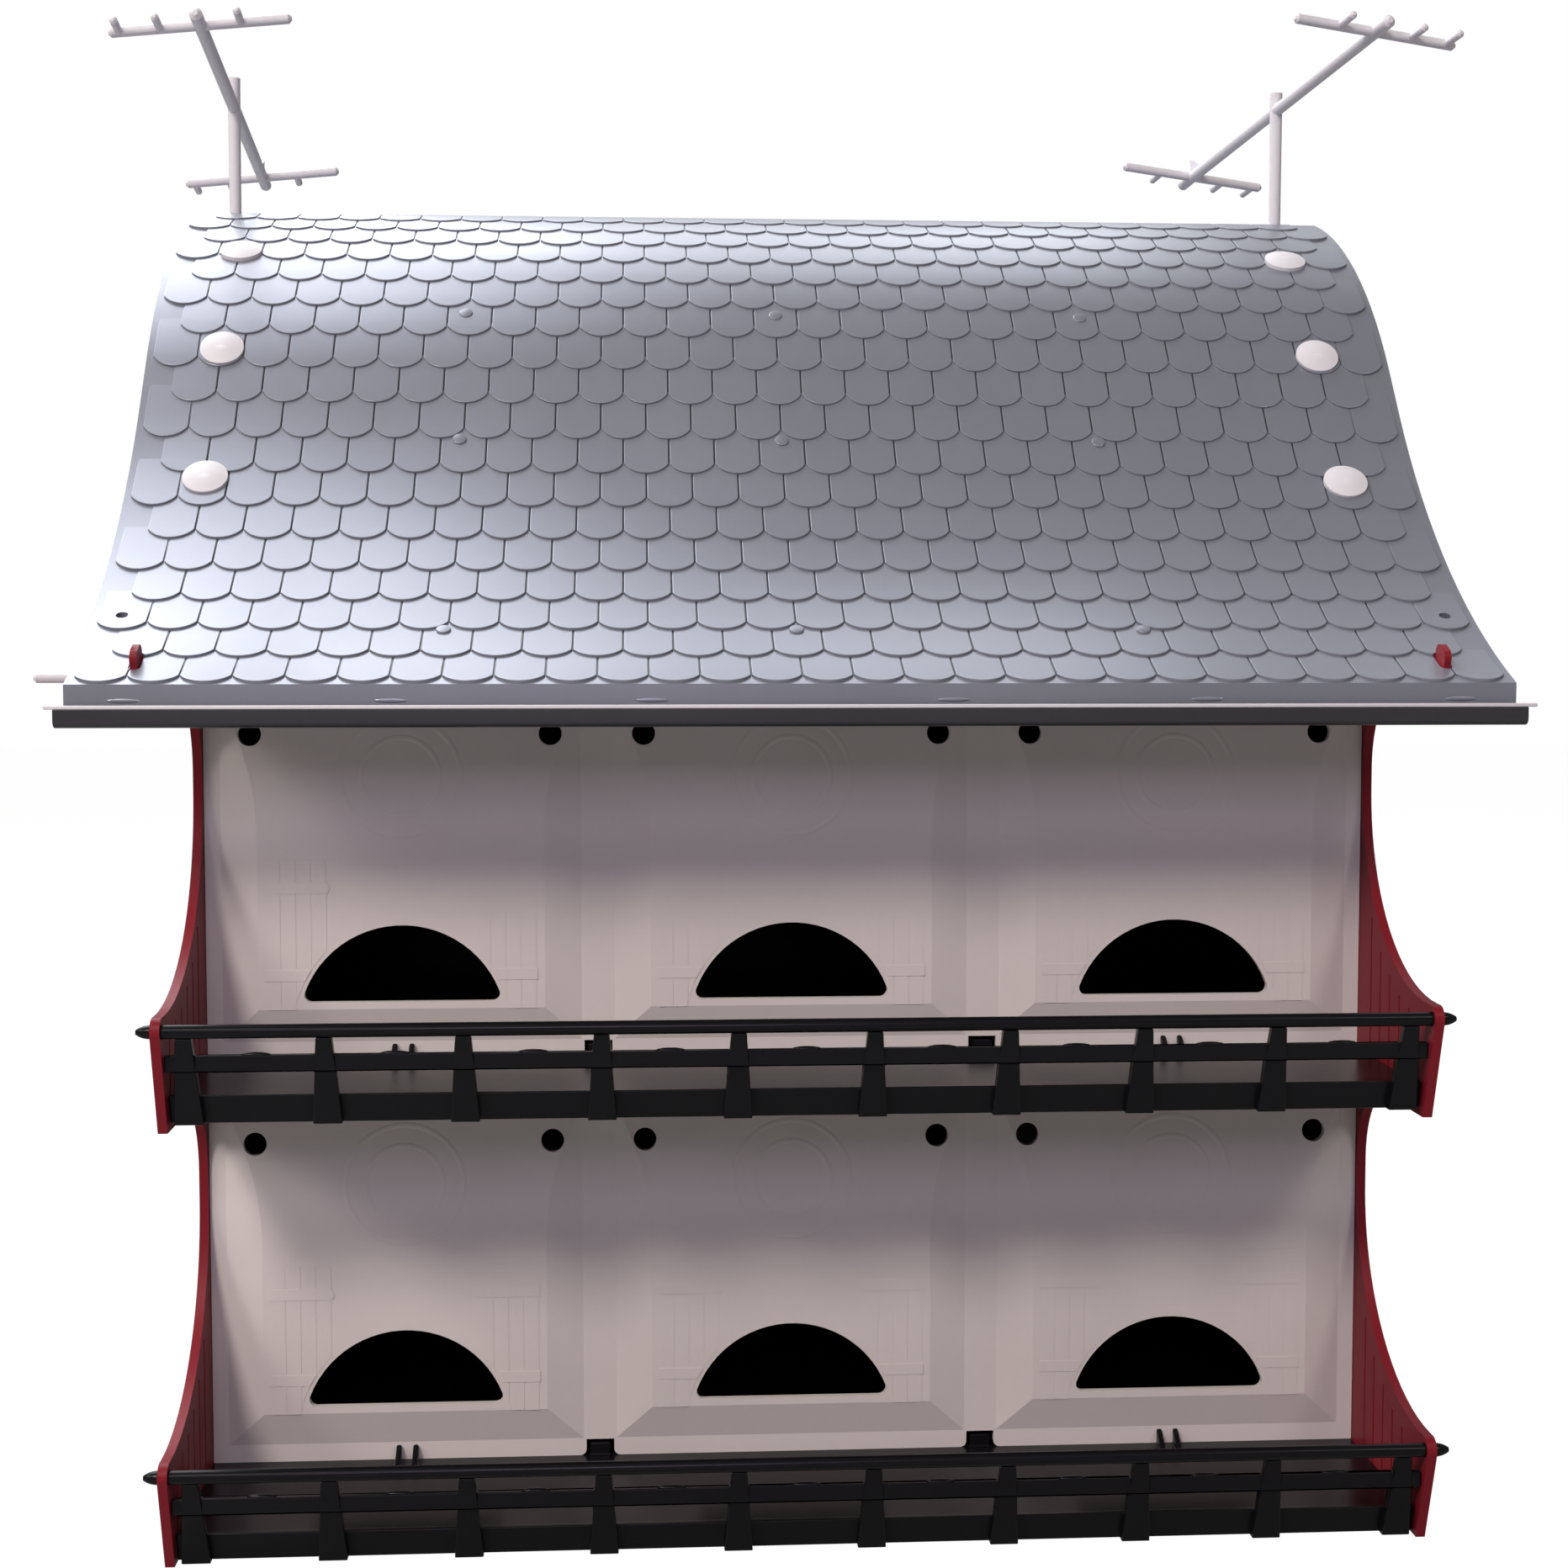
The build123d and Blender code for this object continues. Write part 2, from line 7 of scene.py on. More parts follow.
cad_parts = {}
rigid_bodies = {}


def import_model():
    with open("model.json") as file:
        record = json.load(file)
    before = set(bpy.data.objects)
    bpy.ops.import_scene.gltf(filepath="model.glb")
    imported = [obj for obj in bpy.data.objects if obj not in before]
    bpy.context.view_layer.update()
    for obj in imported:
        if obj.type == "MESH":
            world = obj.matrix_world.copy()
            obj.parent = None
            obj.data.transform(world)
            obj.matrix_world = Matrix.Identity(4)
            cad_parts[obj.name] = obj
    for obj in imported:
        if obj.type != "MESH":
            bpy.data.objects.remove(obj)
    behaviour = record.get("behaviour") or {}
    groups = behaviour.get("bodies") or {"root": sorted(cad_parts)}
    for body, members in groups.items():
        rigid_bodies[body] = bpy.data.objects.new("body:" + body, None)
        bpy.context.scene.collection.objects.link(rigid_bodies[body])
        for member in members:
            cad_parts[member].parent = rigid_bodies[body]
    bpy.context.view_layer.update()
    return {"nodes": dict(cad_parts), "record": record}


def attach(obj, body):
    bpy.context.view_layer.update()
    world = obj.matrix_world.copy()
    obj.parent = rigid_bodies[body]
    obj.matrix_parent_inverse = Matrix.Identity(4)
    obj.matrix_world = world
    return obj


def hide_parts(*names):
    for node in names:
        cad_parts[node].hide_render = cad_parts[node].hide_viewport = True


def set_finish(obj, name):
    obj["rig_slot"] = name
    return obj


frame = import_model()

# The house as the CAD model has it, in metres
bay_width = 0.1524
bays = (-bay_width, 0.0, bay_width)
storey_height = 0.1605
storeys = (("lower", 0.0), ("upper", storey_height))
front = -0.208
field_rise = 0.0035
field_flat_top = 0.099
field_head = 0.151
field_radius = (field_head - field_flat_top) ** 2 / (2 * field_rise)
entry_bottom = 0.033
entry_width = 0.078
entry_height = 0.030
entry_radius = (entry_width ** 2 / 4 + entry_height ** 2) / (2 * entry_height)
end_wall_inner = 0.2286
end_wall_outer = 0.2321
eave = -0.277
eave_height = 0.3188
eave_angle = radians(22.7)
steep_angle = radians(54.3)
shoulder_angle = radians(16.0)
roof_parts = (51.0, 4.9, 42.1, 2.0)
fascia_height = 0.0085
latch_x, latch_run = 0.2423, 0.0175
latch_slot = (0.0023, 0.0065)
pin_x, pin_run = 0.2538, 0.0534
pin_hole = (0.00225, 0.00225)

# Shingles
shingle_pitch = 0.01875
shingle_width = 0.0183
shingle_sag = 0.0056
shingle_length = 0.029
shingle_rise = 0.0012
shingle_sink = 0.0006
shingle_rim = 0.0004
shingle_lean = atan2(shingle_rise, shingle_length)
shingle_cuts = (0.0095, 0.015, 0.0205, 0.025)
shingle_crease = 35
row_counts = (28, 27)
row_total = 18
first_tip = 0.0006
row_step = 0.02148
row_shrink = 0.000116
# Dark sheet under the shingles: painted shade in the joints, where the roof's own grey lies in shadow
last_run = 0.3555
shade_sheet_half_width = 0.2395
shade_sheet_start, shade_sheet_step, shade_sheet_count = 0.006, 0.0085, 41
shade_sheet_rise = 0.0001
hole_patch_share = 0.8
hole_round_share = 0.9
dimple_size = (0.0028, 0.00045)
dimple_sides = 24
dimple_round_share = 0.7
dimple_seat_share = 0.6
dimple_xs = (-0.133, 0.0, 0.133)
dimple_runs = (0.043, 0.1645, 0.2372)
eyelid_half = (0.0062, 0.00022, 0.0009)
eyelid_drop_share = 0.7
eyelid_xs = (-0.244, -0.149, -0.055, 0.055, 0.149, 0.244)

# Pale strip along the gutter's front rim: a painted highlight where the rim catches the light
highlight_strip_low = (-0.2708, -0.2834, 0.3100)
highlight_strip_high = (0.2708, -0.2821, 0.3114)
highlight_strip_round = 0.0004

# Relief on the wall panels
relief_rise = 0.00014
shutter_near, shutter_far = 0.029, 0.0527
shutter_low, shutter_high = -0.003, 0.056
shutter_planks = 4
plank_gap = 0.0005
hinge_heights = (0.0105, 0.0448)
hinge_width = 0.0044
hinge_reach = 0.025
hinge_round_share = 0.48
entry_margin = 0.0016
entry_sides = 96
ring_height = 0.121
ring_radii = (0.0232, 0.0152)
ring_half_width = 0.0011
ring_sides = (48, 8)

# Lens-shaped bumps along the middle rail of a railing, and the make of any oval bump
bump_sides, bump_rings = 16, 6
rail_bump_half = (0.0055, 0.0012, 0.0010)
rail_bump_count = 9
rail_bump_pitch = 0.0491
rail_bump_place = (-0.2925, 0.027)

# Planks of the end walls
groove_pitch = 0.0115
groove_width = 0.0015
groove_depth = 0.0007
groove_margin = 0.009
groove_top = 0.56
groove_overrun = 0.002
scan_step = 0.0015
probe_reach = 0.001
plank_crease = 25

# Rounding of moulded edges: part of the node's name, radius, least turn in degrees
soft_kinds = (("porch_deck", 0.0006, 30), ("railing", 0.0004, 30), ("gutter", 0.0006, 30),
              ("roof_front", 0.0009, 30), ("roof_back", 0.0009, 30))

# Turns in degrees past which an edge stays sharp, on rounded pieces and on oval bumps
soft_crease, bump_crease = 40, 60

# Reach of cutting tools past a piece, and the welding of merged copies
tool_reach = 0.01
weld_distance = 0.00001
weld_angle = 0.3

# Finishes: light and dark screen colour, roughness, share of metal and level of mirror sheen
finishes = {
    "white_panel": ((215, 205, 204), (203, 193, 192), 0.42, 0.0, 0.3),
    "barn_red": ((127, 28, 39), (112, 22, 33), 0.42, 0.0, 0.12),
    "black_porch": ((19, 18, 21), (13, 12, 15), 0.24, 0.0, 0.12),
    "roof_grey": ((134, 136, 147), (125, 127, 138), 0.34, 0.42, 0.6),
    # gutter_grey is the roof's grey plastic painted darker: painted shade on the gutter, whose front faces
    # down; it also colours the dark sheet of painted shade in the shingle joints
    "gutter_grey": ((52, 51, 54), (44, 43, 46), 0.33, 0.0, 0.3),
    "white_trim": ((212, 208, 214), (201, 197, 203), 0.40, 0.0, 0.3),
}
patch_scale, fleck_scale, grain_scale = 14, 260, 900
patch_share, fleck_share = 0.75, 0.25
sheen_drop, patch_sheen, fleck_sheen = 0.06, 0.08, 0.04
grain_strength, grain_height = 0.35, 0.00005

# The view of the photograph
image_size = 1864
film_width = 36
nearest_view = 0.05
lens_pixels = 2814.0
camera_place = (-0.0616, -1.1366, 0.3364)
camera_pitch, camera_yaw = radians(3.60), radians(3.62)

# Studio: name, turn and rise in degrees, distance, size, watts and colour of each soft box
light_target = (0, -0.05, 0.25)
warm, cool, violet = (1.0, 0.95, 0.86), (0.93, 0.96, 1.0), (0.86, 0.77, 1.0)
lights = (
    ("key_box", -30, 39, 4.0, 0.8, 86, warm),
    ("left_box", -60, 28, 2.0, 0.4, 10, warm),
    ("right_box", 35, 36, 3.0, 0.6, 14, warm),
    ("low_box", -5, 20, 2.0, 0.5, 6, violet),
    ("back_left_box", -150, 44, 2.2, 1.2, 20, cool),
    ("side_left_box", -120, 40, 2.2, 1.2, 15, cool),
    ("back_box", 180, 52, 2.2, 1.2, 11, cool),
    ("back_right_box", 150, 44, 2.2, 1.2, 3, cool),
    ("top_left_box", -120, 64, 2.0, 1.0, 17, cool),
)
sky_level, sky_colour = 0.02, (1.0, 0.93, 0.91, 1)
mirror_share = 0.24
floor_size, floor_share, floor_glow = 12, 0.85, 1.16
floor_colour = (0.38, 0.38, 0.38, 1)


class RoofLine:
    """The roof's curve from eave to ridge: hollow, straight, shoulder and crown."""

    def __init__(self):
        unit = -eave / sum(roof_parts)
        hollow, straight, shoulder, crown = (unit * part for part in roof_parts)
        self.hollow = hollow / (sin(steep_angle) - sin(eave_angle))
        self.straight = straight / cos(steep_angle)
        self.shoulder = shoulder / (sin(steep_angle) - sin(shoulder_angle))
        self.crown = crown / sin(shoulder_angle)
        self.hollow_run = self.hollow * (steep_angle - eave_angle)
        self.shoulder_run = self.shoulder * (steep_angle - shoulder_angle)
        self.crown_run = self.crown * shoulder_angle

    def place(self, run):
        """Depth, height and slope at a distance up the roof from the eave."""
        depth, height = eave, eave_height
        turn = eave_angle + (steep_angle - eave_angle) * min(run, self.hollow_run) / self.hollow_run
        depth += self.hollow * (sin(turn) - sin(eave_angle))
        height += self.hollow * (cos(eave_angle) - cos(turn))
        run -= self.hollow_run
        if run <= 0:
            return depth, height, turn
        depth += min(run, self.straight) * cos(steep_angle)
        height += min(run, self.straight) * sin(steep_angle)
        run -= self.straight
        if run <= 0:
            return depth, height, steep_angle
        share = min(run, self.shoulder_run) / self.shoulder_run
        turn = steep_angle - (steep_angle - shoulder_angle) * share
        depth += self.shoulder * (sin(steep_angle) - sin(turn))
        height += self.shoulder * (cos(turn) - cos(steep_angle))
        run -= self.shoulder_run
        if run <= 0:
            return depth, height, turn
        turn = shoulder_angle * (1 - run / self.crown_run)
        depth += self.crown * (sin(shoulder_angle) - sin(turn))
        height += self.crown * (cos(turn) - cos(shoulder_angle))
        return depth, height, turn

    def lay(self, piece):
        """Wrap a flat piece, drawn as across, up the roof and out, onto the front slope."""
        for vertex in piece.data.vertices:
            across, run, out = vertex.co
            depth, height, slope = self.place(run)
            vertex.co = (across, depth - out * sin(slope), height + out * cos(slope))


roof_line = RoofLine()


# Making and changing pieces

def activate(piece):
    """Select one piece alone."""
    bpy.ops.object.select_all(action="DESELECT")
    piece.select_set(True)
    bpy.context.view_layer.objects.active = piece


def named(piece, name):
    piece.name = name
    piece.data.name = name
    return piece


def box(name, low, high):
    """A plain box between two corners."""
    bpy.ops.object.select_all(action="DESELECT")
    bpy.ops.mesh.primitive_cube_add(size=1, location=(Vector(low) + Vector(high)) / 2)
    piece = bpy.context.object
    piece.scale = Vector(high) - Vector(low)
    bpy.ops.object.transform_apply(location=True, rotation=True, scale=True)
    return named(piece, name)


def cylinder(name, radius, depth, place, turn=(0, 0, 0), sides=48):
    """A plain cylinder, upright unless turned."""
    bpy.ops.object.select_all(action="DESELECT")
    bpy.ops.mesh.primitive_cylinder_add(vertices=sides, radius=radius, depth=depth,
                                        location=place, rotation=turn)
    piece = bpy.context.object
    bpy.ops.object.transform_apply(location=True, rotation=True, scale=True)
    return named(piece, name)


def edit(piece, kind, chosen):
    """Open a piece with the chosen vertices, edges or faces selected."""
    activate(piece)
    bpy.ops.object.mode_set(mode="EDIT")
    bpy.ops.mesh.select_mode(type=kind)
    bpy.ops.mesh.select_all(action="DESELECT")
    bpy.ops.object.mode_set(mode="OBJECT")
    mesh = piece.data
    for part in {"VERT": mesh.vertices, "EDGE": mesh.edges, "FACE": mesh.polygons}[kind]:
        part.select = chosen(part)
    bpy.ops.object.mode_set(mode="EDIT")


def close():
    bpy.ops.object.mode_set(mode="OBJECT")


def ends(piece, edge):
    return [piece.data.vertices[index].co for index in edge.vertices]


def modify(piece, kind, **settings):
    """Add a modifier, set it and apply it."""
    activate(piece)
    modifier = piece.modifiers.new(kind, kind)
    for key, value in settings.items():
        setattr(modifier, key, value)
    bpy.ops.object.modifier_apply(modifier=modifier.name)


def repeat(piece, count, step):
    """Make a piece a row of its copies."""
    modify(piece, "ARRAY", count=count, use_relative_offset=False, use_constant_offset=True,
           constant_offset_displace=step)


def cut(piece, tool):
    """Take a tool's shape out of a piece."""
    modify(piece, "BOOLEAN", operation="DIFFERENCE", solver="EXACT", use_self=True, object=tool)
    bpy.data.objects.remove(tool)


def copied(piece, name, move=(0, 0, 0), flip=False):
    """A copy with a mesh of its own, moved, or first mirrored left to right."""
    twin = piece.copy()
    twin.data = piece.data.copy()
    bpy.context.collection.objects.link(twin)
    if flip:
        twin.data.transform(Matrix.Diagonal((-1, 1, 1, 1)))
        twin.data.flip_normals()
    twin.data.transform(Matrix.Translation(move))
    return named(twin, name)


def joined(name, pieces):
    """Several pieces as one."""
    activate(pieces[0])
    for piece in pieces[1:]:
        piece.select_set(True)
    bpy.ops.object.join()
    return named(bpy.context.object, name)


def turned_back(piece, name):
    """A copy turned round to the back of the house."""
    twin = copied(piece, name)
    twin.data.transform(Matrix.Rotation(pi, 4, "Z"))
    return twin


def smooth(piece, angle):
    activate(piece)
    bpy.ops.object.shade_smooth_by_angle(angle=radians(angle))


def flat_shaded(piece, angle):
    """Smooth shading that leaves broad faces flat and keeps the turn on the narrow ones."""
    smooth(piece, angle)
    modify(piece, "WEIGHTED_NORMAL", keep_sharp=True, weight=100)


def cad_copy(node, name):
    """A copy of a CAD node with its loose triangles merged."""
    piece = bpy.data.objects.new(name, frame["nodes"][node].data.copy())
    bpy.context.collection.objects.link(piece)
    edit(piece, "VERT", lambda vertex: True)
    bpy.ops.mesh.remove_doubles(threshold=weld_distance)
    bpy.ops.mesh.normals_make_consistent(inside=False)
    bpy.ops.mesh.dissolve_limited(angle_limit=radians(weld_angle))
    close()
    return named(piece, name)


def finish(piece, slot, *nodes):
    """Fix a piece to the house, with its slot and the CAD nodes that it stands for."""
    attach(piece, "root")
    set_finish(piece, slot)
    if nodes:
        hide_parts(*nodes)


def finish_both(piece, slot):
    """Fix a piece of the front to the house, and its copy to the back."""
    finish(piece, slot)
    finish(turned_back(piece, piece.name.replace("front", "back")), slot)


# Roof

def shingle():
    """One shingle lying flat: an arc below, straight sides, a softened rim and a sunk upper end."""
    radius = (shingle_width ** 2 / 4 + shingle_sag ** 2) / (2 * shingle_sag)
    middle = (shingle_rise - shingle_sink) / 2
    piece = cylinder("shingle", radius, shingle_rise + shingle_sink, (0, radius, middle))
    edit(piece, "VERT", lambda vertex: True)
    bpy.ops.mesh.bisect(plane_co=(0, shingle_sag, 0), plane_no=(0, 1, 0), clear_outer=True, use_fill=True)
    close()
    edit(piece, "FACE", lambda face: face.normal.y > 0.9)
    bpy.ops.mesh.extrude_region_move(TRANSFORM_OT_translate={"value": (0, shingle_length - shingle_sag, 0)})
    close()
    edit(piece, "EDGE", lambda edge: all(end.z > 0 for end in ends(piece, edge))
         and abs(ends(piece, edge)[0].x - ends(piece, edge)[1].x) < shingle_width / 2)
    bpy.ops.mesh.bevel(offset=shingle_rim, segments=2, affect="EDGES")
    for run in shingle_cuts:
        bpy.ops.mesh.select_all(action="SELECT")
        bpy.ops.mesh.bisect(plane_co=(0, run, 0), plane_no=(0, 1, 0))
    close()
    piece.data.transform(Matrix.Rotation(-shingle_lean, 4, "X"))
    return piece


def row_tip(row):
    """How far up the roof a row's tips lie; the rows close up a little towards the ridge."""
    return first_tip + row_step * row - row_shrink * row ** 2


def shingle_row(one, count):
    row = copied(one, "row", (-(count - 1) / 2 * shingle_pitch, 0, 0))
    repeat(row, count, (shingle_pitch, 0, 0))
    return row


def cut_shingles(sheet, across, run, half_width, half_length):
    """Open the shingles round a hole of the roof, drawn flat."""
    reach = shingle_length * hole_patch_share
    edit(sheet, "VERT", lambda vertex: abs(vertex.co.x - across) < shingle_pitch / 2
         and -reach < vertex.co.y - run < reach)
    bpy.ops.mesh.select_linked()
    bpy.ops.mesh.separate(type="SELECTED")
    close()
    patch = [piece for piece in bpy.context.selected_objects if piece is not sheet][0]
    low = (across - half_width, run - half_length, -tool_reach)
    tool = box("tool", low, (across + half_width, run + half_length, tool_reach))
    edit(tool, "EDGE", lambda edge: abs(ends(tool, edge)[0].z - ends(tool, edge)[1].z) > tool_reach)
    bpy.ops.mesh.bevel(offset=half_width * hole_round_share, segments=4, affect="EDGES")
    close()
    cut(patch, tool)
    return joined("shingles", [sheet, patch])


def shingles():
    """All the shingles of the front slope."""
    one = shingle()
    kinds = [shingle_row(one, count) for count in row_counts]
    rows = [copied(kinds[row % 2], "row", (0, row_tip(row), 0)) for row in range(row_total)]
    for piece in (one, *kinds):
        bpy.data.objects.remove(piece)
    sheet = joined("shingles", rows)
    edit(sheet, "VERT", lambda vertex: True)
    bpy.ops.mesh.bisect(plane_co=(0, last_run, 0), plane_no=(0, 1, 0), clear_outer=True, use_fill=True)
    close()
    for side in (-1, 1):
        sheet = cut_shingles(sheet, side * latch_x, latch_run, *latch_slot)
        sheet = cut_shingles(sheet, side * pin_x, pin_run, *pin_hole)
    roof_line.lay(sheet)
    flat_shaded(sheet, shingle_crease)
    return named(sheet, "shingles_front")


def joint_shade_sheet():
    """A dark sheet under the shingles: painted shade that shows in the joints between them."""
    low = (-shade_sheet_half_width, shade_sheet_start, -shingle_sink)
    piece = box("shingle_bed_front", low, (shade_sheet_half_width, shade_sheet_start + shade_sheet_step, shade_sheet_rise))
    repeat(piece, shade_sheet_count, (0, shade_sheet_step, 0))
    roof_line.lay(piece)
    return piece


def bump(name, half):
    """A low oval bump lying flat."""
    bpy.ops.object.select_all(action="DESELECT")
    bpy.ops.mesh.primitive_uv_sphere_add(segments=bump_sides, ring_count=bump_rings, radius=1)
    piece = bpy.context.object
    piece.scale = half
    bpy.ops.object.transform_apply(location=True, rotation=True, scale=True)
    smooth(piece, bump_crease)
    return named(piece, name)


def roof_dimples():
    """Small round studs that stand on some shingles."""
    radius, rise = dimple_size
    one = cylinder("dimple", radius, 2 * rise, (0, 0, 0), sides=dimple_sides)
    edit(one, "EDGE", lambda edge: all(end.z > 0 for end in ends(one, edge)))
    bpy.ops.mesh.bevel(offset=rise * dimple_round_share, segments=3, affect="EDGES")
    close()
    smooth(one, soft_crease)
    seat = shingle_rise * dimple_seat_share
    pieces = [copied(one, "dimple", (across, run, seat)) for across in dimple_xs for run in dimple_runs]
    bpy.data.objects.remove(one)
    piece = joined("roof_dimples_front", pieces)
    roof_line.lay(piece)
    return piece


def fascia_eyelids():
    """Thin lens-shaped bumps along the roof's front edge."""
    one = bump("eyelid", eyelid_half)
    height = eave_height - fascia_height * eyelid_drop_share
    pieces = [copied(one, "eyelid", (across, eave, height)) for across in eyelid_xs]
    bpy.data.objects.remove(one)
    return joined("fascia_eyelids_front", pieces)


def gutter_highlight_strip():
    """A pale rounded strip along the top of the gutter: a painted highlight where the rim catches the
    light.
    """
    piece = box("gutter_lip_front", highlight_strip_low, highlight_strip_high)
    modify(piece, "BEVEL", width=highlight_strip_round, segments=2)
    smooth(piece, soft_crease)
    return piece


# Walls

def beyond_entry(piece):
    """Cut a piece back round the entry whose foot is the origin."""
    radius = entry_radius + entry_margin
    middle = (0, 0, entry_height - entry_radius)
    tool = cylinder("tool", radius, 2 * tool_reach, middle, (pi / 2, 0, 0), entry_sides)
    cut(piece, tool)


def shutter():
    """One shutter of planks with two strap hinges, right of an entry whose foot is the origin."""
    step = (shutter_far - shutter_near) / shutter_planks
    high = (shutter_near + step - plank_gap, relief_rise, shutter_high)
    plank = box("plank", (shutter_near, -relief_rise, shutter_low), high)
    repeat(plank, shutter_planks, (step, 0, 0))
    beyond_entry(plank)
    pieces = [plank]
    for height in hinge_heights:
        low = (shutter_far - hinge_reach, -2 * relief_rise, height - hinge_width / 2)
        strap = box("strap", low, (shutter_far, relief_rise, height + hinge_width / 2))
        half_way = shutter_far - hinge_reach / 2
        edit(strap, "EDGE", lambda edge: all(end.x < half_way for end in ends(strap, edge))
             and abs(ends(strap, edge)[0].y - ends(strap, edge)[1].y) > relief_rise)
        bpy.ops.mesh.bevel(offset=hinge_width * hinge_round_share, segments=4, affect="EDGES")
        close()
        if height < entry_height:
            beyond_entry(strap)
        pieces.append(strap)
    return joined("shutter", pieces)


def field_depth(height):
    """How far the field lies in front of the wall at a height above the storey's foot."""
    return field_rise - max(0, height - field_flat_top) ** 2 / (2 * field_radius)


def rings():
    """The two rings over an entry, following the field's curve; the storey's foot is the origin."""
    pieces = []
    for radius in ring_radii:
        bpy.ops.object.select_all(action="DESELECT")
        bpy.ops.mesh.primitive_torus_add(major_segments=ring_sides[0], minor_segments=ring_sides[1],
                                         major_radius=radius, minor_radius=ring_half_width,
                                         rotation=(pi / 2, 0, 0))
        ring = bpy.context.object
        ring.scale = (1, 1, relief_rise / ring_half_width)
        bpy.ops.object.transform_apply(location=True, rotation=True, scale=True)
        for vertex in ring.data.vertices:
            vertex.co.z += ring_height
            vertex.co.y -= field_depth(vertex.co.z)
        pieces.append(ring)
    piece = joined("rings", pieces)
    smooth(piece, bump_crease)
    return piece


def wall_relief(shutter_piece, ring_piece, storey, base):
    """Shutters and rings of one storey's front wall."""
    pieces = []
    for middle in bays:
        place = (middle, front - field_rise, base + entry_bottom)
        pieces.append(copied(shutter_piece, "shutter", place))
        pieces.append(copied(shutter_piece, "shutter", place, flip=True))
        pieces.append(copied(ring_piece, "rings", (middle, front, base)))
    return joined("wall_relief_front_" + storey, pieces)


def rail_bumps(storey, base):
    """The bumps on the middle rail of one storey's front railing, one between each two posts."""
    depth, height = rail_bump_place
    piece = bump("rail_bumps_front_" + storey, rail_bump_half)
    first = -(rail_bump_count - 1) / 2 * rail_bump_pitch
    piece.data.transform(Matrix.Translation((first, depth, base + height)))
    repeat(piece, rail_bump_count, (rail_bump_pitch, 0, 0))
    return piece


def hits(wall, side, depth, height, inwards):
    """Whether a face of the end wall lies where it should at a place."""
    face = side * (end_wall_outer if inwards > 0 else end_wall_inner)
    towards = Vector((-side * inwards, 0, 0))
    start = Vector((face, depth, height)) - towards * probe_reach
    return wall.ray_cast(start, towards, distance=2 * probe_reach)[0]


def grooves(wall, side, face, inwards):
    """Bars along the plank joints of one face of an end wall, where the wall is solid all round."""
    near = side * (face - inwards * groove_depth)
    far = side * (face + inwards * groove_overrun)
    low_x, high_x = sorted((near, far))
    around = ((0, groove_margin), (0, -groove_margin), (groove_margin, 0), (-groove_margin, 0))
    reach = ceil(-eave / groove_pitch)
    bars = []
    for index in range(-reach, reach):
        middle = (index + 0.5) * groove_pitch
        if inwards < 0 and abs(middle) < -front + groove_margin:
            continue
        near_y, far_y = middle - groove_width / 2, middle + groove_width / 2
        start = None
        height = groove_margin
        while height < groove_top:
            solid = all(hits(wall, side, middle + across, height + up, inwards) for across, up in around)
            if solid and start is None:
                start = height
            if not solid and start is not None:
                if height - start > 2 * groove_margin:
                    bars.append(box("bar", (low_x, near_y, start), (high_x, far_y, height)))
                start = None
            height += scan_step
    return joined("bars", bars)


def end_wall(hand, side):
    """An end wall with its planks cut into both faces."""
    node = hand + "_end_wall"
    wall = cad_copy(node, "planked_" + node)
    tool = joined("bars", [grooves(wall, side, end_wall_outer, 1), grooves(wall, side, end_wall_inner, -1)])
    cut(wall, tool)
    smooth(wall, plank_crease)
    finish(wall, "barn_red", node)


# CAD pieces with softened edges

def softened(node, width, least):
    """A copy of a CAD node whose edges, where they turn by more than the least angle, are rounded."""
    piece = cad_copy(node, "soft_" + node)
    modify(piece, "BEVEL", width=width, segments=2, limit_method="ANGLE", angle_limit=radians(least),
           use_clamp_overlap=True)
    flat_shaded(piece, soft_crease)
    return piece


# Materials

class Value:
    """A shader socket that takes plain arithmetic."""

    def __init__(self, shader, socket):
        self.shader = shader
        self.socket = socket

    def maths(self, operation, first, second):
        return self.shader.node("ShaderNodeMath", {"operation": operation}, {0: first, 1: second})

    def __add__(self, other):
        return self.maths("ADD", self, other)

    def __radd__(self, other):
        return self.maths("ADD", other, self)

    def __mul__(self, other):
        return self.maths("MULTIPLY", self, other)

    def __rmul__(self, other):
        return self.maths("MULTIPLY", other, self)


class Shader:
    """A material or world being built up from nodes."""

    def __init__(self, owner):
        owner.use_nodes = True
        self.tree = owner.node_tree
        self.tree.nodes.clear()

    def node(self, kind, settings, inputs, output=0):
        """Add a node: its settings first, then values or links for its sockets."""
        node = self.tree.nodes.new(kind)
        for key, value in settings.items():
            setattr(node, key, value)
        for key, value in inputs.items():
            if isinstance(value, Value):
                self.tree.links.new(value.socket, node.inputs[key])
            else:
                node.inputs[key].default_value = value
        return Value(self, node.outputs[output]) if len(node.outputs) else None

    def noise(self, place, scale, detail):
        return self.node("ShaderNodeTexNoise", {}, {"Vector": place, "Scale": scale, "Detail": detail})

    def mix(self, share, first, second):
        return self.node("ShaderNodeMix", {"data_type": "RGBA"}, {0: share, 6: first, 7: second}, 2)


def linear(red, green, blue):
    """A screen colour of 0 to 255 as a linear colour."""
    shares = (value / 255 for value in (red, green, blue))
    return tuple(v / 12.92 if v <= 0.04045 else ((v + 0.055) / 1.055) ** 2.4 for v in shares) + (1,)


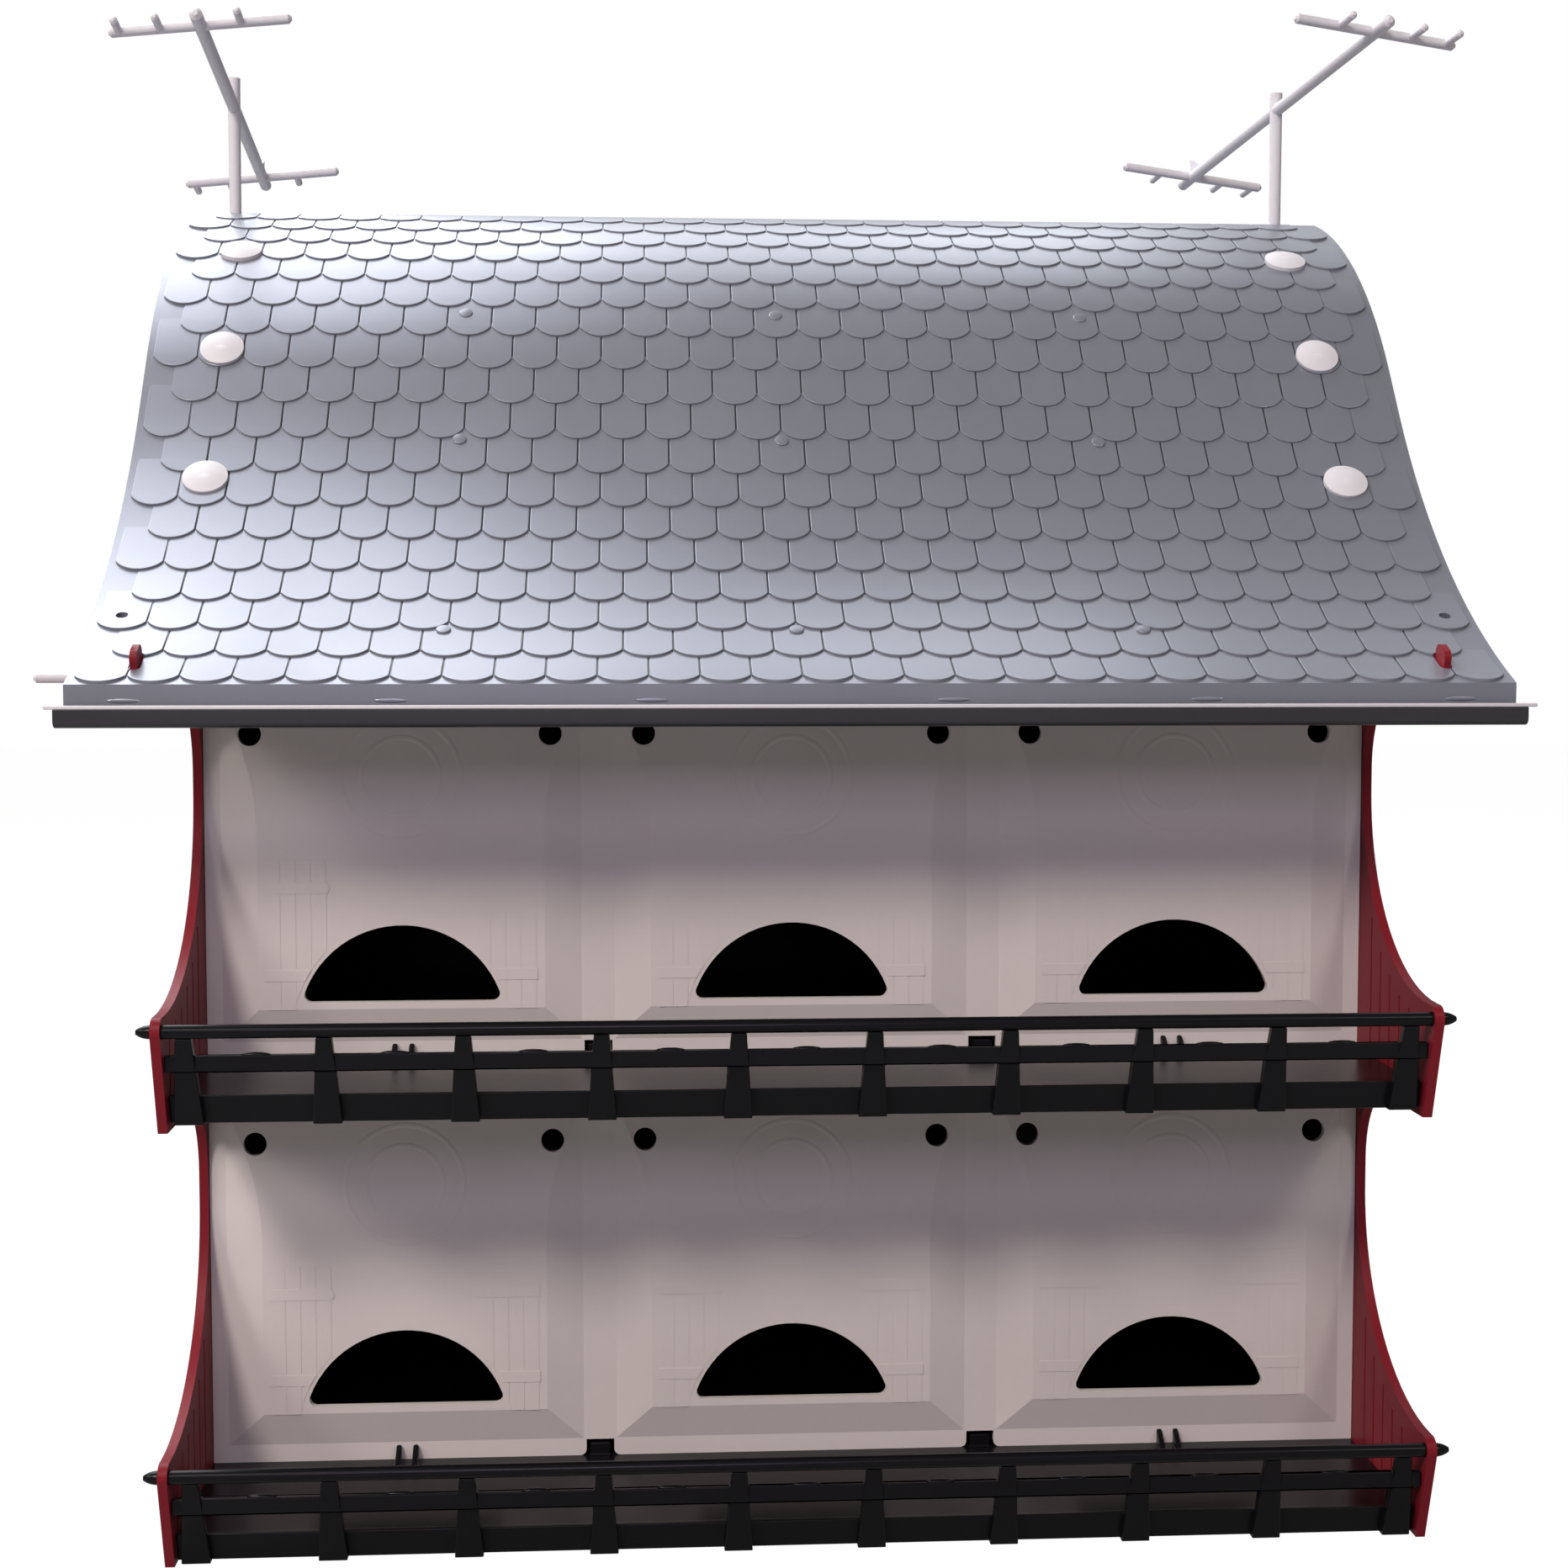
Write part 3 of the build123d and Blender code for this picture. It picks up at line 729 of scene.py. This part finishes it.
def plastic(slot, light, dark, roughness, metallic, specular):
    """Moulded plastic: slow patches of tone, uneven sheen and a fine moulded grain."""
    material = bpy.data.materials.new(slot)
    shader = Shader(material)
    place = shader.node("ShaderNodeTexCoord", {}, {}, 3)
    patches = shader.noise(place, patch_scale, 4)
    flecks = shader.noise(place, fleck_scale, 2)
    share = patches * patch_share + flecks * fleck_share
    colour = shader.mix(share, linear(*dark), linear(*light))
    sheen = roughness - sheen_drop + patches * patch_sheen + flecks * fleck_sheen
    grain = shader.noise(place, grain_scale, 2)
    normal = shader.node("ShaderNodeBump", {}, {
        "Strength": grain_strength, "Distance": grain_height, "Height": grain})
    surface = shader.node("ShaderNodeBsdfPrincipled", {}, {
        "Base Color": colour, "Roughness": sheen, "Metallic": metallic, "Normal": normal,
        "Specular IOR Level": specular})
    shader.node("ShaderNodeOutputMaterial", {}, {"Surface": surface})
    return material


materials = {slot: plastic(slot, *values) for slot, values in finishes.items()}


# Building the visible pieces

finish_both(shingles(), "roof_grey")
# The dark sheet is painted shade in the shingle joints
finish_both(joint_shade_sheet(), "gutter_grey")
finish_both(roof_dimples(), "roof_grey")
finish_both(fascia_eyelids(), "roof_grey")
# The pale strip is a painted highlight on the gutter's rim
finish_both(gutter_highlight_strip(), "white_trim")

shutter_piece = shutter()
ring_piece = rings()
for storey, base in storeys:
    finish_both(wall_relief(shutter_piece, ring_piece, storey, base), "white_panel")
    finish_both(rail_bumps(storey, base), "black_porch")
bpy.data.objects.remove(shutter_piece)
bpy.data.objects.remove(ring_piece)

for hand, side in (("left", -1), ("right", 1)):
    end_wall(hand, side)

slot_of = {subpart["node"]: subpart["material_slot"] for subpart in frame["record"]["subparts"]}
for node, slot in slot_of.items():
    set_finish(frame["nodes"][node], slot)
for kind, width, least in soft_kinds:
    for node in slot_of:
        if kind in node:
            finish(softened(node, width, least), slot_of[node], node)


# Colours on every piece by its slot

for piece in bpy.context.scene.objects:
    slot = piece.get("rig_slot")
    if piece.type == "MESH" and slot in materials:
        piece.data.materials.clear()
        piece.data.materials.append(materials[slot])


# Floor, lights and camera

def shown_white(shader):
    """1 for rays that see the white background: from the camera, mirrored or let through."""
    rays = [shader.node("ShaderNodeLightPath", {}, {}, name)
            for name in ("Is Camera Ray", "Is Glossy Ray", "Is Transmission Ray")]
    return rays[0] + rays[1] * mirror_share + rays[2]


def stage_floor():
    """A plain floor that looks white and keeps the shadow of the house."""
    bpy.ops.object.select_all(action="DESELECT")
    bpy.ops.mesh.primitive_plane_add(size=floor_size)
    piece = named(bpy.context.object, "floor")
    material = bpy.data.materials.new("floor")
    shader = Shader(material)
    pale = shader.node("ShaderNodeBsdfDiffuse", {}, {"Color": floor_colour})
    white = shader.node("ShaderNodeEmission", {}, {"Color": (1, 1, 1, 1), "Strength": floor_glow})
    share = shown_white(shader) * floor_share
    surface = shader.node("ShaderNodeMixShader", {}, {0: share, 1: pale, 2: white})
    shader.node("ShaderNodeOutputMaterial", {}, {"Surface": surface})
    piece.data.materials.append(material)


def area_light(name, turn, rise, distance, size, power, colour):
    """A square soft box aimed at the house, by its turn round it, minus to the left, and its rise."""
    data = bpy.data.lights.new(name, "AREA")
    data.size = size
    data.energy = power
    data.color = colour
    light = bpy.data.objects.new(name, data)
    away = Vector((sin(turn) * cos(rise), -cos(turn) * cos(rise), sin(rise)))
    light.location = Vector(light_target) + away * distance
    light.rotation_euler = away.to_track_quat("Z", "Y").to_euler()
    bpy.context.collection.objects.link(light)


def sky():
    """A dim sky that looks white."""
    world = bpy.data.worlds.new("sky")
    bpy.context.scene.world = world
    shader = Shader(world)
    dim = shader.node("ShaderNodeBackground", {}, {"Color": sky_colour, "Strength": sky_level})
    white = shader.node("ShaderNodeBackground", {}, {"Color": (1, 1, 1, 1), "Strength": 1.0})
    surface = shader.node("ShaderNodeMixShader", {}, {0: shown_white(shader), 1: dim, 2: white})
    shader.node("ShaderNodeOutputWorld", {}, {"Surface": surface})


def photo_camera():
    """The camera that took the photograph."""
    data = bpy.data.cameras.new("camera")
    data.sensor_width = film_width
    data.lens = lens_pixels / image_size * data.sensor_width
    data.clip_start = nearest_view
    camera = bpy.data.objects.new("camera", data)
    camera.location = camera_place
    camera.rotation_euler = (pi / 2 - camera_pitch, 0, -camera_yaw)
    bpy.context.collection.objects.link(camera)
    bpy.context.scene.camera = camera


stage_floor()
sky()
for name, turn, rise, distance, size, power, colour in lights:
    area_light(name, radians(turn), radians(rise), distance, size, power, colour)
photo_camera()
bpy.context.scene.view_settings.view_transform = "Standard"
